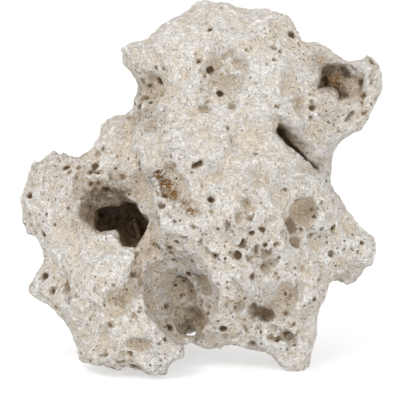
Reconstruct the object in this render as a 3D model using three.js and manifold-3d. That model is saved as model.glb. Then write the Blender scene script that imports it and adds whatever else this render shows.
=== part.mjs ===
// Drilled limestone: one weathered block of porous stone, hollowed out by water, that stands on three feet.
// Millimetres, +Z up. The origin is the bottom centre of the stone's box, and its face looks towards -Y.
//
// The stone is drawn in its face frame: u runs across the face, v up it and w out of it, and the face leans
// back by LEAN. Lumps of stone are blended into one field of distances on a grid, an outline trims them,
// hollows and scallops are carved out of it, and the field's zero surface becomes the mesh.

import * as THREE from "three";
import { SimplexNoise } from "three/addons/math/SimplexNoise.js";
import { SimplifyModifier } from "three/addons/modifiers/SimplifyModifier.js";
import { edgeTable, triTable } from "three/addons/objects/MarchingCubes.js";
import { mergeVertices } from "three/addons/utils/BufferGeometryUtils.js";
import Module from "manifold-3d";

// ---- Driving dimensions ----

const LEAN = 9; // degrees
const FLOOR = 9.2; // height of the floor above the face frame's origin
const STEP = 1.8; // of the grid
const TRIANGLES = 9600;
const SEED = 41;

const RUMPLE = { size: 30, reach: 2.4 }; // slow waves that bend every form
const CRUMB = { size: 11, reach: 0.9 };
const GNAW = { size: 8, reach: 1.5 }; // in the walls of hollows
const LUMP_BLEND = 9;
const RIM_BLEND = 4;
const FACET_BLEND = 3;
const HOLLOW_BLEND = 1.2;
const RIM_CURVE = 52; // radius of the sides, seen from above
const TAPER = 9; // the most that they draw in
const SPARE = 1; // left outside the outline, for the scallops to take off
const MIDDLE = [10, 88, 0];
const ROOM = { low: [-95, -8, -62], high: [95, 190, 60] }; // that the stone is shaped in
const FAR = 150; // more than any place is from the middle

// ---- Forms, in the face frame ----

// Lumps of stone: centre [u, v, w], half sizes, and a turn in degrees about w. A lump's facets are flats on
// it: the compass direction and height that each faces, and its share of the lump's reach that way.
const LUMPS = [
  {
    name: "heart", at: [21, 84, 2], half: [43, 46, 46], turn: 12,
    facets: [[-20, 30, 0.9], [35, 5, 0.88], [0, -35, 0.9]],
  },
  {
    name: "brow", at: [-5, 108, 4], half: [30, 27, 43], turn: -20,
    facets: [[-35, 15, 0.86], [10, 30, 0.88]],
  },
  { name: "cheek", at: [-10, 76, 8], half: [15, 24, 36], facets: [[-30, -10, 0.9]] },
  { name: "heart's foot", at: [19, 47, 8], half: [36, 27, 32], facets: [[10, -30, 0.85]] },
  { name: "sill", at: [9, 29, 5], half: [24, 17, 20], facets: [[0, 0, 0.85]] },
  {
    name: "crown", at: [7.5, 144, -4], half: [44, 42, 34],
    facets: [[-15, 45, 0.8], [20, 52, 0.82], [-40, 8, 0.84]],
  },
  { name: "crown's cheek", at: [33, 132, 0], half: [23, 22, 32], facets: [[30, 0, 0.84]] },
  { name: "left shoulder", at: [-18.5, 151.5, -3], half: [22, 20, 24], turn: 35, facets: [[-50, 20, 0.8]] },
  { name: "left horn", at: [-32, 154, -2], half: [9, 9, 12] },
  { name: "right corner", at: [38, 163, -4], half: [14, 18, 18], facets: [[25, 10, 0.8]] },
  { name: "right lobe", at: [62, 136, -4], half: [25, 28, 27], facets: [[35, 0, 0.82], [-10, 40, 0.85]] },
  { name: "lobe rim", at: [78, 141, -4], half: [11, 17, 15] },
  { name: "waist", at: [54, 100, -6], half: [17, 30, 25], facets: [[40, 10, 0.82]] },
  { name: "right arm", at: [67, 61, -5], half: [21, 22, 22], facets: [[30, 15, 0.8], [20, -40, 0.85]] },
  { name: "right foot", at: [44, 30, 8], half: [20, 30, 23], facets: [[0, -10, 0.84], [50, 0, 0.7]] },
  { name: "left wing", at: [-50, 84, 0], half: [37, 35, 25], facets: [[-40, 20, 0.8], [-60, -10, 0.85]] },
  { name: "knob", at: [-40, 57, 8], half: [26, 18, 29], facets: [[-20, 30, 0.85]] },
  { name: "left ledge", at: [-40, 112, -4], half: [22, 22, 17], facets: [[-20, 40, 0.8]] },
  { name: "wing rim", at: [-76, 86, -2], half: [14, 25, 11] },
  { name: "left arm", at: [-70, 46, 2], half: [16, 14, 15], facets: [[-20, 10, 0.8]] },
  {
    name: "left leg", at: [-38, 32, 12], half: [30, 32, 35],
    facets: [[-35, -15, 0.84], [25, -10, 0.86], [0, 25, 0.9]],
  },
  { name: "left foot", at: [-21, 16, 30], half: [16, 20, 15], facets: [[0, -25, 0.7], [-40, -20, 0.8]] },
  { name: "left heel", at: [-46, 18, 14], half: [18, 16, 18] },
  {
    name: "back", at: [12.5, 95, -25], half: [42, 44, 28],
    facets: [[160, 10, 0.85], [205, 15, 0.88], [180, -30, 0.85]],
  },
  {
    name: "back brow", at: [30, 128, -24], half: [24, 17, 22], turn: 15,
    facets: [[150, 30, 0.8], [200, 20, 0.82]],
  },
  {
    name: "back knob", at: [44, 62, -22], half: [22, 18, 22], turn: -20,
    facets: [[140, 20, 0.82], [190, -20, 0.8]],
  },
  { name: "back shelf", at: [-6, 66, -36], half: [22, 11, 18], turn: -12, facets: [[185, 45, 0.75]] },
  { name: "back foot", at: [-20, 33, -36], half: [15, 33, 18], facets: [[190, 20, 0.85]] },
  { name: "back wing", at: [-43, 74, -20], half: [28, 30, 21], facets: [[215, 10, 0.82]] },
];

// The face's outline, clockwise from the top, as points [u, v, w] of a smooth closed curve.
const OUTLINE = [
  [-7, 172.5, -3], [-1.5, 179.5, -3], [7, 180.5, -3], [15.5, 178, -3], [24.5, 175.5, -4], [33, 176.5, -4],
  [42.5, 173.5, -4], [46.5, 169, -4], [46.5, 162.5, -4], [56.5, 161.5, -3], [63, 156.5, -3], [71, 151.5, -2],
  [78.5, 154, -2], [84, 150.5, -2], [85, 138.5, -2], [80, 128.5, -2], [76.5, 121, -2], [68.5, 116, -2],
  [63, 110.5, -2], [64, 105, -2], [62.5, 99, -2], [65.5, 89.5, -2], [70, 81.5, -2], [72.5, 76.5, -2],
  [78.5, 72, -1], [82.5, 67, 0], [80.5, 57.5, 0], [77, 48.5, 0], [69.5, 44.5, 0], [65, 48.5, 2],
  [58.5, 42.5, 5], [58.5, 39, 8], [56, 33.5, 12], [53.5, 20.5, 15], [50.5, 10, 18], [47, 3, 19],
  [42.5, 3, 19], [37.5, 10, 19], [31.5, 15, 15], [22, 16.5, 13], [13.5, 18, 12], [4, 14.5, 12],
  [-3.5, 17.5, 16], [-6.5, 13.5, 30], [-13.5, 9, 36], [-16.5, -1, 38], [-23.5, -1, 38], [-28.5, 7, 36],
  [-36.5, 6, 32], [-46.5, 10.5, 26], [-54.5, 12, 22], [-56, 19.5, 20], [-61, 29.5, 18], [-69.5, 36.5, 14],
  [-78, 41.5, 12], [-80, 46, 10], [-76, 53, 9], [-71, 56, 8], [-73.5, 64.5, 6], [-76, 68.5, 6],
  [-83, 72, 5], [-84.5, 81, 5], [-80.5, 94, 5], [-78.5, 102.5, 4], [-71.5, 107.5, 3], [-66.5, 112, 2],
  [-61.5, 110, 2], [-53.5, 110, 1], [-49.5, 119, 0], [-41, 126.5, 0], [-33, 127.5, 0], [-31.5, 134.5, 0],
  [-29, 138.5, 0], [-32.5, 146.5, 0], [-37, 151.5, 0], [-36.5, 158.5, 0], [-33, 160.5, 0],
  [-27, 160.5, 0], [-22.5, 165, -2], [-15.5, 168.5, -3], [-13, 171.5, -3],
];

// Deep hollows, carved from the lumps as ellipsoids.
const CAVES = [
  { name: "cave", at: [-38, 80.5, 6], half: [14, 12, 24] },
  { name: "cave's floor", at: [-30.5, 73, 7], half: [9.5, 12, 23] },
  { name: "cave's side room", at: [-45, 79, -3], half: [12, 9.5, 11] },
  { name: "valley", at: [-8, 41, 35], half: [15, 22, 20], turn: 24, facing: [18, 12] },
  { name: "valley's head", at: [-15, 56, 46], half: [13, 12, 19], turn: 30, facing: [0, 25] },
  { name: "valley's foot", at: [-7, 30, 20], half: [7, 9, 18], turn: 20 },
  { name: "crack's slope", at: [46.5, 111.5, 26], half: [17, 4.8, 17], turn: -43, facing: [14, 15] },
  { name: "back valley", at: [16, 92, -60], half: [9, 24, 22], turn: -35 },
  { name: "lobe's hole", at: [66.5, 141, 11], half: [11, 8.5, 17] },
  { name: "lobe's inner hole", at: [60.5, 142.5, 1], half: [8.5, 7, 12.5] },
  { name: "chimney", at: [-12, 36, -15], half: [7.5, 13, 7] },
];

// Long hollows: the places [u, v, w] that each passes through, and its radius.
const GROOVES = [
  { name: "crack", through: [[35, 118, 20], [42, 112, 14], [48, 105.5, 11], [53, 100.5, 9]], radius: 2.8 },
  { name: "lobe's slit", through: [[68, 121, 10], [74.5, 127, 6]], radius: 1.8 },
  { name: "valley's way out", through: [[-3, 23.5, 20], [-4, 22, -60]], radius: 2.4 },
  { name: "leg's crease", through: [[-28, 60, 32], [-27.5, 50, 34], [-23, 43, 34]], radius: 3 },
];

// Hollows in the face: place [u, v], half sizes across and up, depth, and a turn in degrees.
const DENTS = [
  { name: "cave's bowl", at: [-45, 84], half: [11.5, 12.5], depth: 9 },
  { name: "crown's hollow", at: [12, 146.5], half: [10.5, 12], depth: 4.5, turn: 20 },
  { name: "shoulder's upper pocket", at: [-25.5, 137], half: [6, 7], depth: 4 },
  { name: "shoulder's lower pocket", at: [-25.5, 124.5], half: [7, 6], depth: 4 },
  { name: "brow's pit", at: [3, 129], half: [3.5, 3], depth: 4 },
  { name: "brow's notch", at: [13.5, 129.5], half: [3, 3], depth: 4 },
  { name: "heart's slot", at: [17, 113], half: [2.4, 4.5], depth: 4 },
  { name: "heart's upper scallop", at: [27, 96], half: [7.5, 9], depth: 3.5 },
  { name: "heart's twin pit", at: [22.5, 83], half: [3.2, 4.5], depth: 4 },
  { name: "heart's lower twin pit", at: [19, 78.5], half: [3.2, 4.5], depth: 4.5 },
  { name: "right bowl", at: [48, 79], half: [10, 8.5], depth: 6 },
  { name: "right bowl's left pit", at: [42.5, 75], half: [4.5, 4.5], depth: 6 },
  { name: "right bowl's tail", at: [45, 67.5], half: [4, 5], depth: 5 },
  { name: "heart's rough pit", at: [30.5, 57], half: [5, 6], depth: 4 },
  { name: "foot's bowl", at: [38, 38], half: [10, 8.5], depth: 4 },
  { name: "foot's bowl's pit", at: [41.5, 41], half: [5, 5.5], depth: 7 },
  { name: "foot's dark hole", at: [28.5, 34.5], half: [4.5, 4], depth: 8, turn: -30 },
  { name: "foot's cone", at: [40, 22], half: [5.5, 4], depth: 4, turn: 30 },
  { name: "sill's pit", at: [17.5, 36], half: [3.5, 3.5], depth: 3.5 },
  { name: "leg's bowl", at: [-37, 39], half: [8, 7.5], depth: 3.5 },
  { name: "leg's bowl's pit", at: [-35, 43], half: [4.5, 3.5], depth: 4 },
  { name: "leg's scar", at: [-26.5, 19.5], half: [8, 5], depth: 3.5, turn: 8 },
  { name: "arm's hole", at: [-61, 44.5], half: [3, 4.5], depth: 8, turn: -20 },
  { name: "rusty hollow", at: [-13, 93], half: [10, 5.5], depth: 4.5, turn: -42 },
  { name: "rusty hollow's end", at: [-2.5, 82], half: [4, 2.6], depth: 4 },
  { name: "valley's inner pit", at: [-8, 42], half: [6, 6], depth: 5 },
  { name: "valley's overhung pit", at: [1, 47], half: [5, 3.5], depth: 6, turn: -25 },
  { name: "ledge's pit", at: [-39.5, 97], half: [2.8, 3.2], depth: 4.5 },
];

// Hollows in the sides, back and top: the compass direction and the height that each faces, in degrees, with
// 0, 0 out of the face and 90, 0 out of its right side, then as above.
const SIDE_DENTS = [
  { name: "right bowl", facing: [85, 12], half: [13, 10], depth: 6 },
  { name: "right pit", facing: [95, -12], half: [6, 5], depth: 7 },
  { name: "back bowl", facing: [150, 8], half: [13, 10], depth: 6, turn: 20 },
  { name: "back cave", facing: [186, -20], half: [8, 7.5], depth: 15, turn: -15 },
  { name: "back upper pit", facing: [200, 28], half: [8, 6], depth: 9 },
  { name: "back upper scallop", facing: [150, 38], half: [12, 9], depth: 4 },
  { name: "back left bowl", facing: [228, 2], half: [14, 11], depth: 6, turn: 30 },
  { name: "back right pit", facing: [135, -8], half: [7, 9], depth: 9 },
  { name: "left scallop", facing: [270, 22], half: [11, 9], depth: 4 },
  { name: "top scallop", facing: [120, 70], half: [12, 9], depth: 3.5 },
  { name: "top pit", facing: [230, 62], half: [5, 4], depth: 5 },
];

// Scallops at random over the whole surface: how many, their radii, their depths.
const SCALLOPS = [
  { count: 70, radius: [22, 40], depth: [1.6, 3.2] },
  { count: 160, radius: [8, 16], depth: [1.2, 2.4] },
];
const RIM_SHARE = 0.35; // of a scallop's depth that is left where it faces sideways, to keep the outline

// ---- The field ----

const { degToRad, lerp, seededRandom } = THREE.MathUtils;
seededRandom(SEED);
const noise = new SimplexNoise({ random: () => seededRandom() });
const between = ([low, high]) => lerp(low, high, seededRandom());

const ACROSS = new THREE.Vector3(1, 0, 0);
const UP = new THREE.Vector3(0, 1, 0);
const OUT = new THREE.Vector3(0, 0, 1);

const compass = ([around, height]) =>
  OUT.clone().applyAxisAngle(ACROSS, degToRad(-height)).applyAxisAngle(UP, degToRad(around));

// The signed distance to an ellipsoid, close to exact near its surface. Its third axis lies along facing.
function ellipsoid({ at, half, turn = 0, facing = [0, 0], facets = [] }) {
  const outward = compass(facing);
  const tip = new THREE.Quaternion().setFromUnitVectors(OUT, outward);
  const spin = new THREE.Quaternion().setFromAxisAngle(outward, degToRad(turn)).multiply(tip);
  const [a, b, c] = [ACROSS, UP, OUT].map((axis) => axis.clone().applyQuaternion(spin));
  const flats = facets.map(([around, height, share]) => {
    const normal = compass([around, height]);
    return { normal, reach: share * Math.hypot(...[a, b, c].map((axis, n) => half[n] * axis.dot(normal))) };
  });
  return (u, v, w) => {
    const du = u - at[0];
    const dv = v - at[1];
    const dw = w - at[2];
    const x = (du * a.x + dv * a.y + dw * a.z) / half[0];
    const y = (du * b.x + dv * b.y + dw * b.z) / half[1];
    const z = (du * c.x + dv * c.y + dw * c.z) / half[2];
    const shell = Math.hypot(x, y, z);
    const slope = Math.hypot(x / half[0], y / half[1], z / half[2]);
    const round = slope < 1e-9 ? -Math.min(...half) : (shell * (shell - 1)) / slope;
    return flats.reduce((distance, { normal, reach }) =>
      cut(distance, du * normal.x + dv * normal.y + dw * normal.z - reach, FACET_BLEND), round);
  };
}

// The signed distance to a round rod that passes through some places.
function rod({ through, radius }) {
  const points = through.map((place) => new THREE.Vector3(...place));
  const spot = new THREE.Vector3();
  const foot = new THREE.Vector3();
  const piece = new THREE.Line3();
  return (u, v, w) => {
    spot.set(u, v, w);
    const gaps = points.slice(1).map((point, n) =>
      piece.set(points[n], point).closestPointToPoint(spot, true, foot).distanceTo(spot));
    return Math.min(...gaps) - radius;
  };
}

// The lower of two distances, and the higher, rounded where they meet.
function blend(a, b, round) {
  const h = Math.max(round - Math.abs(a - b), 0) / round;
  return Math.min(a, b) - (h * h * round) / 4;
}
const cut = (a, b, round) => -blend(-a, -b, round);

// A grid cell's corners, and the two corners of each of its edges, in the order of the marching cubes tables.
const CELL_CORNERS = [
  [0, 0, 0], [1, 0, 0], [1, 1, 0], [0, 1, 0],
  [0, 0, 1], [1, 0, 1], [1, 1, 1], [0, 1, 1],
];
const CELL_EDGES = [
  [0, 1], [1, 2], [2, 3], [3, 0],
  [4, 5], [5, 6], [6, 7], [7, 4],
  [0, 4], [1, 5], [2, 6], [3, 7],
];

class Field {
  constructor(low, high, step) {
    this.low = low;
    this.step = step;
    this.size = low.map((x, i) => Math.ceil((high[i] - x) / step) + 1);
    this.strides = [1, this.size[0], this.size[0] * this.size[1]];
    this.values = new Float32Array(this.size[0] * this.size[1] * this.size[2]);
  }

  index(i, j, k) {
    return i + j * this.strides[1] + k * this.strides[2];
  }

  place(i, j, k) {
    return [i, j, k].map((n, axis) => this.low[axis] + n * this.step);
  }

  placeOf(n) {
    const j = Math.floor(n / this.strides[1]) % this.size[1];
    return this.place(n % this.size[0], j, Math.floor(n / this.strides[2]));
  }

  // The value at the grid point nearest to a place.
  near(place) {
    const cell = [place.x, place.y, place.z].map((x, axis) => Math.round((x - this.low[axis]) / this.step));
    const outside = cell.some((n, axis) => n < 0 || n >= this.size[axis]);
    return outside ? this.step : this.values[this.index(...cell)];
  }

  // The direction in which the value at a grid point rises.
  rise(n) {
    const [x, y, z] = this.strides.map((stride) => this.values[n + stride] - this.values[n - stride]);
    return new THREE.Vector3(x, y, z).normalize();
  }

  // Replaces each value within reach of a place: change(value, u, v, w, n).
  each(change, at = [0, 0, 0], reach = Infinity) {
    const from = at.map((x, axis) => Math.max(0, Math.ceil((x - reach - this.low[axis]) / this.step)));
    const to = at.map((x, axis) =>
      Math.min(this.size[axis] - 1, Math.floor((x + reach - this.low[axis]) / this.step)));
    for (let k = from[2]; k <= to[2]; k++)
      for (let j = from[1]; j <= to[1]; j++)
        for (let i = from[0]; i <= to[0]; i++) {
          const n = this.index(i, j, k);
          this.values[n] = change(this.values[n], ...this.place(i, j, k), n);
        }
  }

  // Takes a form away, with its walls rumpled.
  carve(shape, at, reach) {
    const change = (value, u, v, w) => cut(value, -shape(...rumpled(u, v, w, GNAW)), HOLLOW_BLEND);
    this.each(change, at, reach + GNAW.reach + 2 * this.step);
  }

  // The first place inside the stone on the way in from outside, against facing, to a target.
  meet(target, facing) {
    for (let far = FAR; far > -FAR; far -= this.step / 3) {
      const place = target.clone().addScaledVector(facing, far);
      if (this.near(place) < 0) return place;
    }
    throw new Error(`no stone at ${target.toArray()}`);
  }

  // The field's zero surface, by marching cubes, with one vertex for each grid edge that it crosses.
  surface() {
    const offsets = CELL_CORNERS.map((corner) => this.index(...corner));
    const positions = [];
    const triangles = [];
    const made = new Map();
    const vertex = (start, edge) => {
      const [a, b] = CELL_EDGES[edge].map((corner) => start + offsets[corner]).sort((p, q) => p - q);
      const key = a * 3 + this.strides.indexOf(b - a);
      if (!made.has(key)) {
        const share = this.values[a] / (this.values[a] - this.values[b]);
        const [p, q] = [a, b].map((n) => this.placeOf(n));
        positions.push(...p.map((x, axis) => lerp(x, q[axis], share)));
        made.set(key, made.size);
      }
      return made.get(key);
    };
    for (let k = 0; k < this.size[2] - 1; k++)
      for (let j = 0; j < this.size[1] - 1; j++)
        for (let i = 0; i < this.size[0] - 1; i++) {
          const start = this.index(i, j, k);
          let code = 0;
          offsets.forEach((offset, bit) => (code |= (this.values[start + offset] > 0 ? 1 : 0) << bit));
          if (!edgeTable[code]) continue;
          for (let t = code * 16; triTable[t] !== -1; t++) triangles.push(vertex(start, triTable[t]));
        }
    const geometry = new THREE.BufferGeometry();
    geometry.setAttribute("position", new THREE.Float32BufferAttribute(positions, 3));
    geometry.setIndex(triangles);
    return geometry;
  }
}

// The signed distance in the face's plane to a closed curve, positive outside, and the curve's depth there.
function outlineOf(points) {
  const places = points.map((point) => new THREE.Vector3(...point));
  const loop = new THREE.CatmullRomCurve3(places, true, "centripetal");
  const steps = loop.getPoints(points.length * 3);
  return (u, v) => {
    let nearest = Infinity;
    let depth = 0;
    let inside = false;
    for (let n = 1; n < steps.length; n++) {
      const a = steps[n - 1];
      const b = steps[n];
      const du = b.x - a.x;
      const dv = b.y - a.y;
      const t = Math.min(1, Math.max(0, ((u - a.x) * du + (v - a.y) * dv) / (du * du + dv * dv)));
      const gap = Math.hypot(u - a.x - t * du, v - a.y - t * dv);
      if (gap < nearest) {
        nearest = gap;
        depth = lerp(a.z, b.z, t);
      }
      if (a.y > v !== b.y > v && u < a.x + ((v - a.y) / dv) * du) inside = !inside;
    }
    return [inside ? -nearest : nearest, depth];
  };
}

// ---- Carving ----

const wave = (u, v, w, { size, reach }) => reach * noise.noise3d(u / size, v / size, w / size);
const rumpled = (u, v, w, kind) =>
  [u + wave(u, v, w, kind), v + wave(v, w, u, kind), w + wave(w, u, v, kind)];
const stone = new Field(ROOM.low, ROOM.high, STEP);

// Fills the field with the lumps, and trims them so that the sides curve away from the outline's depth.
function fillLumps() {
  const shapes = LUMPS.map(ellipsoid);
  const outline = outlineOf(OUTLINE);
  const rims = new Map();
  stone.each((value, u, v, w) => {
    const [a, b, c] = rumpled(...rumpled(u, v, w, RUMPLE), CRUMB);
    const body = shapes.reduce((distance, shape) => blend(distance, shape(a, b, c), LUMP_BLEND), FAR);
    const key = `${u},${v}`;
    if (!rims.has(key)) rims.set(key, outline(u, v));
    const [rim, middle] = rims.get(key);
    const taper = Math.min((w - middle) ** 2 / (2 * RIM_CURVE), TAPER);
    return cut(body, rim - SPARE + taper + wave(a, b, c, CRUMB), RIM_BLEND);
  });
}

// Bites shallow bowls out of random places on the surface. Bowls that meet leave a ridge between them.
function biteScallops({ count, radius, depth }) {
  const skin = [];
  stone.values.forEach((value, n) => {
    if (Math.abs(value) < STEP / 3) skin.push(n);
  });
  const bites = new Float32Array(stone.values.length);
  for (let bowl = 0; bowl < count; bowl++) {
    const pick = skin[Math.floor(seededRandom() * skin.length)];
    const at = stone.placeOf(pick);
    const deepest = between(depth) * lerp(RIM_SHARE, 1, Math.abs(stone.rise(pick).z));
    const curve = 2 * between(radius);
    stone.each((value, u, v, w, n) => {
      const far = (u - at[0]) ** 2 + (v - at[1]) ** 2 + (w - at[2]) ** 2;
      bites[n] = Math.max(bites[n], deepest - far / curve);
      return value;
    }, at, Math.sqrt(deepest * curve));
  }
  stone.each((value, u, v, w, n) => value + bites[n]);
}

// A pit is centred on the surface. A shallow dent is the cap of a larger form that is centred outside it.
function carveDent({ at = MIDDLE, facing = [0, 0], half, depth, turn }) {
  const outward = compass(facing);
  const place = stone.meet(new THREE.Vector3(...at), outward);
  const shallow = depth < 0.8 * Math.min(...half);
  const [wider, deeper, lift] = shallow ? [1.25, 2.5, 1.5] : [1, 1, 0];
  const centre = place.addScaledVector(outward, lift * depth).toArray();
  const size = [wider * half[0], wider * half[1], deeper * depth];
  stone.carve(ellipsoid({ at: centre, half: size, turn, facing }), centre, Math.max(...size));
}

function carveHollows() {
  SCALLOPS.forEach(biteScallops);
  CAVES.forEach((cave) => stone.carve(ellipsoid(cave), cave.at, Math.max(...cave.half)));
  GROOVES.forEach((groove) => stone.carve(rod(groove), groove.through[0], FAR));
  DENTS.forEach((dent) => carveDent({ ...dent, at: [...dent.at, 0] }));
  SIDE_DENTS.forEach(carveDent);
}

fillLumps();
carveHollows();

// ---- The solid ----

async function solidStone() {
  const wasm = await Module();
  wasm.setup();
  const solidOf = (geometry) =>
    new wasm.Manifold(new wasm.Mesh({
      numProp: 3,
      vertProperties: new Float32Array(geometry.attributes.position.array),
      triVerts: new Uint32Array(geometry.index.array),
    }));
  const fine = stone.surface();
  const spare = fine.attributes.position.count - TRIANGLES / 2;
  const coarse = await new SimplifyModifier().modify(fine, spare);
  coarse.rotateX(degToRad(90 - LEAN));
  const slab = new THREE.BoxGeometry(2 * FAR, 2 * FAR, FAR).translate(0, 0, FLOOR - FAR / 2);
  slab.deleteAttribute("normal");
  slab.deleteAttribute("uv");
  const whole = solidOf(coarse).subtract(solidOf(mergeVertices(slab)));
  const [largest] = whole.decompose().sort((a, b) => b.volume() - a.volume());
  const { numProp, vertProperties, triVerts } = largest.getMesh();
  const geometry = new THREE.BufferGeometry();
  geometry.setAttribute("position", new THREE.BufferAttribute(vertProperties, numProp));
  geometry.setIndex(new THREE.BufferAttribute(triVerts, 1));
  geometry.computeBoundingBox();
  const { min, max } = geometry.boundingBox;
  return geometry.translate(-(min.x + max.x) / 2, -(min.y + max.y) / 2, -min.z);
}

const limestone = new THREE.Mesh(
  await solidStone(),
  new THREE.MeshStandardMaterial({ color: 0xd8d0c6, roughness: 0.95, metalness: 0 }),
);
limestone.name = "limestone";

const group = new THREE.Group();
group.add(limestone);
export default group;
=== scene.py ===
# Drilled limestone: the finished surface of one weathered stone, riddled with holes, on a pale floor.
import math

import bmesh
import bpy
import numpy as np
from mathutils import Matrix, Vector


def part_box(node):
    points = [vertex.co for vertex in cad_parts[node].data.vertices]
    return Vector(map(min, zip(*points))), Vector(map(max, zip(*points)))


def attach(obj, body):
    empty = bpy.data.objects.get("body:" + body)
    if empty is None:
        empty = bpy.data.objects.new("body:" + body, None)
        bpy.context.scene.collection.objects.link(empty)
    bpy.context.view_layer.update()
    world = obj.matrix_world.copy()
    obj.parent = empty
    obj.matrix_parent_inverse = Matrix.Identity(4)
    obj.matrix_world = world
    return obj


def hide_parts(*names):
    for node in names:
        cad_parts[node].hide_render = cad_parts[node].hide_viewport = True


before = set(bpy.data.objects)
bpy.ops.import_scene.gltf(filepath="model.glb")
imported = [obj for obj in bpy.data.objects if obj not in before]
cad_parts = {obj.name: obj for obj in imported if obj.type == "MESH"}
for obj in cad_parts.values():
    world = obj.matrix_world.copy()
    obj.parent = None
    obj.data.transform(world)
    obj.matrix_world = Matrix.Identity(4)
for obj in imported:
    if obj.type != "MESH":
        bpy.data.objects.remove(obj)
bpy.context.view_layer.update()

import openvdb as vdb
from mathutils import Matrix, Vector
from mathutils.bvhtree import BVHTree

MM = 0.001
SEED = 7
TRIANGLES = 194_000

LOW, HIGH = (np.array(corner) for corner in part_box("limestone"))


# ---- The face frame ----

# Places on the stone are given in the frame of its face: u runs across the face, v up it and w out of it.
# The face leans back from the upright. Its frame starts below the stone, near the middle of the box.
LEAN = math.radians(9)
ACROSS = Vector((1, 0, 0))
UP = Vector((0, math.sin(LEAN), math.cos(LEAN)))
OUT = Vector((0, -math.cos(LEAN), math.sin(LEAN)))
FACE = Matrix((ACROSS, UP, OUT)).transposed()
FACE_START = Vector((-0.95, -13.54, -9.2)) * MM


def place_of(u, v, w=0):
    return FACE_START + FACE @ (Vector((u, v, w)) * MM)


def face_of(points):
    """Points of the world, as places in the face frame."""
    return (points - np.array(FACE_START)) @ np.array(FACE) / MM


def world_of(places):
    """Places in the face frame, as points of the world."""
    return np.array(FACE_START) + places @ np.array(FACE).T * MM


# ---- Camera ----

VIEW_MIDDLE = place_of(0.24, 86)  # the middle of the stone's face
VIEW_DISTANCE = 1.0
VIEW_WIDTH = 190 * MM  # of what the camera takes in at the middle of the stone

camera = bpy.data.objects.new("camera", bpy.data.cameras.new("camera"))
camera.data.lens = camera.data.sensor_width * VIEW_DISTANCE / VIEW_WIDTH
camera.matrix_world = Matrix.Translation(VIEW_MIDDLE + OUT * VIEW_DISTANCE) @ FACE.to_4x4()
bpy.context.scene.collection.objects.link(camera)
bpy.context.scene.camera = camera


# ---- Nodes ----

def find(sockets, key):
    """A node's socket, by its name or its number."""
    if isinstance(key, int):
        return sockets[key]
    return next(socket for socket in sockets if socket.enabled and socket.name == key)


def operators(operation):
    """An operator on wires, and its reflected form."""

    def forward(self, other):
        return self.net.math(operation, self, other)

    def reflected(self, other):
        return self.net.math(operation, other, self)

    return forward, reflected


class Wire:
    """A node's output. An expression of wires adds the nodes that work it out."""

    def __init__(self, net, socket):
        self.net = net
        self.socket = socket

    def __getitem__(self, name):
        """Another output of the same node."""
        return Wire(self.net, find(self.socket.node.outputs, name))

    __add__, __radd__ = operators("ADD")
    __sub__, __rsub__ = operators("SUBTRACT")
    __mul__, __rmul__ = operators("MULTIPLY")
    __truediv__, __rtruediv__ = operators("DIVIDE")
    __pow__, __rpow__ = operators("POWER")


class Net:
    """A tree of nodes."""

    def __init__(self, tree):
        self.tree = tree

    def add(self, kind, settings=None, sockets=None):
        """Adds a node of a kind, with its settings, then its sockets' values or links, and gives its first
        output."""
        node = self.tree.nodes.new(kind)
        for name, value in (settings or {}).items():
            setattr(node, name, value)
        for key, value in (sockets or {}).items():
            self.plug(find(node.inputs, key), value)
        outputs = [socket for socket in node.outputs if socket.enabled]
        return Wire(self, outputs[0]) if outputs else None

    def plug(self, socket, value):
        if isinstance(value, Wire):
            self.tree.links.new(value.socket, socket)
        elif isinstance(value, (int, float)) and hasattr(socket.default_value, "__len__"):
            socket.default_value = (value,) * len(socket.default_value)
        else:
            socket.default_value = value

    def math(self, operation, *values):
        """A Math node, or a Vector Math node where a value is a vector or a colour."""
        wide = any(
            isinstance(value, tuple) or (isinstance(value, Wire) and value.socket.type in ("VECTOR", "RGBA"))
            for value in values)
        kind = "ShaderNodeVectorMath" if wide else "ShaderNodeMath"
        return self.add(kind, {"operation": operation}, dict(enumerate(values)))

    def step(self, value, start, end, low=0.0, high=1.0):
        """Runs smoothly from low to high as the value goes from start to end."""
        settings = {"interpolation_type": "SMOOTHSTEP"}
        sockets = {"Value": value, "From Min": start, "From Max": end, "To Min": low, "To Max": high}
        return self.add("ShaderNodeMapRange", settings, sockets)


class Maker(Net):
    """A Geometry Nodes tree with named inputs, which makes a plain mesh out of another one."""

    def __init__(self, name, inputs):
        super().__init__(bpy.data.node_groups.new(name, "GeometryNodeTree"))
        face = self.tree.interface
        face.new_socket("Geometry", in_out="INPUT", socket_type="NodeSocketGeometry")
        face.new_socket("Geometry", in_out="OUTPUT", socket_type="NodeSocketGeometry")
        self.keys = {}
        for label, kind in inputs.items():
            socket = face.new_socket(label, in_out="INPUT", socket_type=f"NodeSocket{kind}")
            self.keys[label] = socket.identifier
        self.given = self.add("NodeGroupInput")

    def finish(self, geometry):
        """Ends the tree with this geometry, made real and with the given material."""
        real = self.add("GeometryNodeRealizeInstances", sockets={"Geometry": geometry})
        done = self.add(
            "GeometryNodeSetMaterial", sockets={"Geometry": real, "Material": self.given["Material"]})
        self.add("NodeGroupOutput", sockets={"Geometry": done})

    def make(self, mesh, values):
        piece = object_of("making", mesh)
        modifier = piece.modifiers.new("maker", "NODES")
        modifier.node_group = self.tree
        for label, value in values.items():
            modifier[self.keys[label]] = value
        made = baked(piece)
        piece.modifiers.remove(modifier)
        bpy.data.objects.remove(piece)
        return made


# ---- Meshes ----

def mesh_of(name, points, faces):
    mesh = bpy.data.meshes.new(name)
    sides = faces.shape[1]
    mesh.vertices.add(len(points))
    mesh.vertices.foreach_set("co", np.asarray(points, np.float32).ravel())
    mesh.loops.add(faces.size)
    mesh.loops.foreach_set("vertex_index", faces.astype(np.int32).ravel())
    mesh.polygons.add(len(faces))
    mesh.polygons.foreach_set("loop_start", np.arange(0, faces.size, sides, dtype=np.int32))
    mesh.update(calc_edges=True)
    mesh.validate()
    return mesh


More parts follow.
